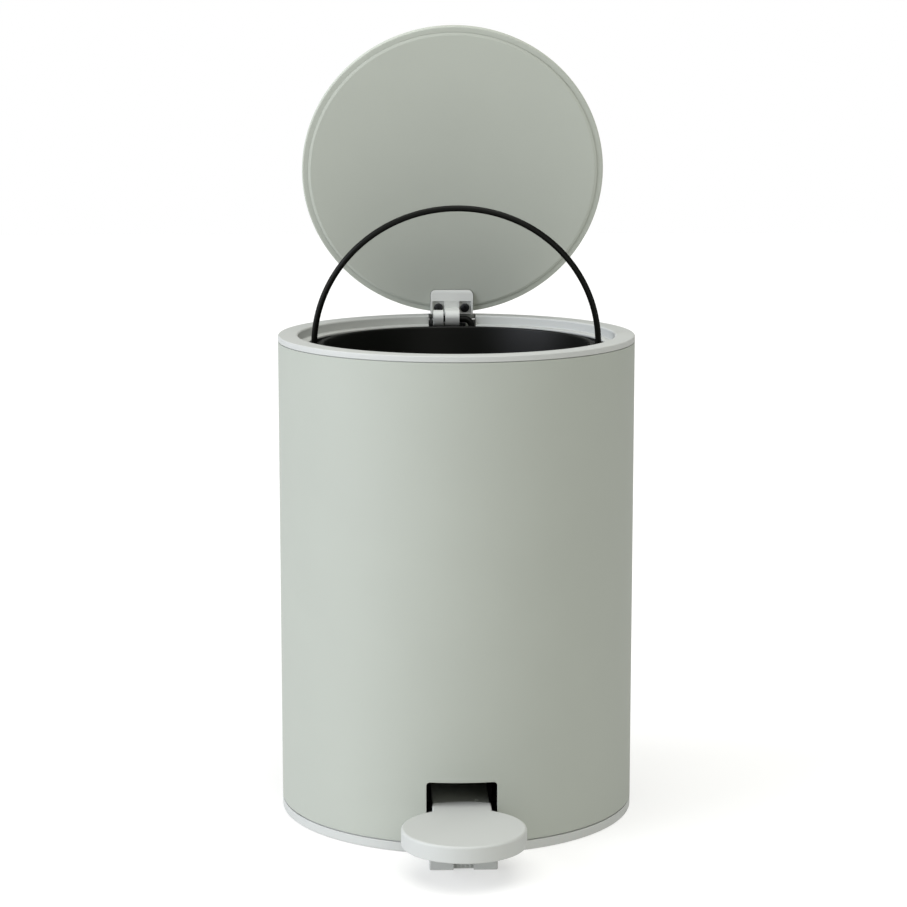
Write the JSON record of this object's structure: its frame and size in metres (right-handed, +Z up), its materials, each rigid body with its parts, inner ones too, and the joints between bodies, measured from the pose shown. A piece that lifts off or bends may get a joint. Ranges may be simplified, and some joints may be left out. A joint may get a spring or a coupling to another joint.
{
  "type": "pedal trash can",
  "caption": "Small round pedal bin: straight coated-steel cylinder, recessed hinged lid, lift-out bucket with wire bail, and a round foot pedal that opens the lid by a push rod.",
  "frame": {"origin": "on the axis of the round body, at floor level", "axes": "+Z up along the body's axis, +Y from the pedal to the hinge, +X to the right seen from the pedal"},
  "size_m": [0.205, 0.2745, 0.453],
  "materials": {
    "body_coat": "matte powder coat",
    "sage_plastic": "fine matte",
    "black_plastic": "satin",
    "black_wire": "satin coat on steel wire",
    "black_steel": "black coated",
    "zinc": "zinc plated",
    "grey_nylon": "moulded",
    "rubber": "matte"
  },
  "bodies": {
    "bin": {"body_shell": "body_coat", "collar": "sage_plastic", "lid_buffer_left": "rubber", "lid_buffer_right": "rubber", "base_pan": "sage_plastic", "floor_pad": "rubber", "platform": "grey_nylon", "platform_screw_1": "zinc", "platform_screw_2": "zinc", "platform_screw_3": "zinc", "platform_screw_4": "zinc", "axle_bearing_left": "grey_nylon", "axle_bearing_right": "grey_nylon", "bearing_screw_left": "zinc", "bearing_screw_right": "zinc", "lever_axle": "zinc", "lever_axle_clip": "zinc", "hinge_mount": "black_steel", "hinge_screw_left": "zinc", "hinge_screw_right": "zinc", "hinge_pin": "zinc", "hinge_pin_clip": "zinc", "rod_guide": "grey_nylon", "bucket": "black_plastic"},
    "lid": {"lid_skin": "body_coat", "lid_panel": "body_coat", "lid_bracket": "sage_plastic", "bracket_screw_left": "black_steel", "bracket_screw_right": "black_steel"},
    "pedal": {"pedal_lever": "body_coat", "lever_bush": "grey_nylon", "pedal_pad": "sage_plastic", "pedal_screw_left": "zinc", "pedal_screw_right": "zinc"},
    "rod": {"push_rod": "black_wire", "push_rod_clip": "zinc"},
    "bail": {"bail": "black_wire"}
  },
  "joints": [
    {"name": "lid_hinge", "type": "hinge", "parent": "bin", "child": "lid", "pos_m": [0, 0.09594, 0.27235], "axis": [1, 0, 0], "range_deg": [0, 74.3]},
    {"name": "pedal_pivot", "type": "hinge", "parent": "bin", "child": "pedal", "pos_m": [0, -0.0114, 0.018], "axis": [-1, 0, 0], "range_deg": [0, 6.9]},
    {"name": "rod_slide", "type": "slide", "parent": "bin", "child": "rod", "axis": [0, 0, -1], "range_m": [0, 0.0119]},
    {"name": "bail_fold", "type": "hinge", "parent": "bin", "child": "bail", "pos_m": [0, 0, 0.2707], "axis": [1, 0, 0], "range_deg": [0, 79.2]}
  ],
  "couplings": [
    {"joint": "pedal_pivot", "follows": "lid_hinge", "ratio": 0.0921},
    {"joint": "rod_slide", "follows": "lid_hinge", "m_per_rad": 0.0091},
    {"joint": "bail_fold", "follows": "lid_hinge", "ratio": 1.0646}
  ]
}
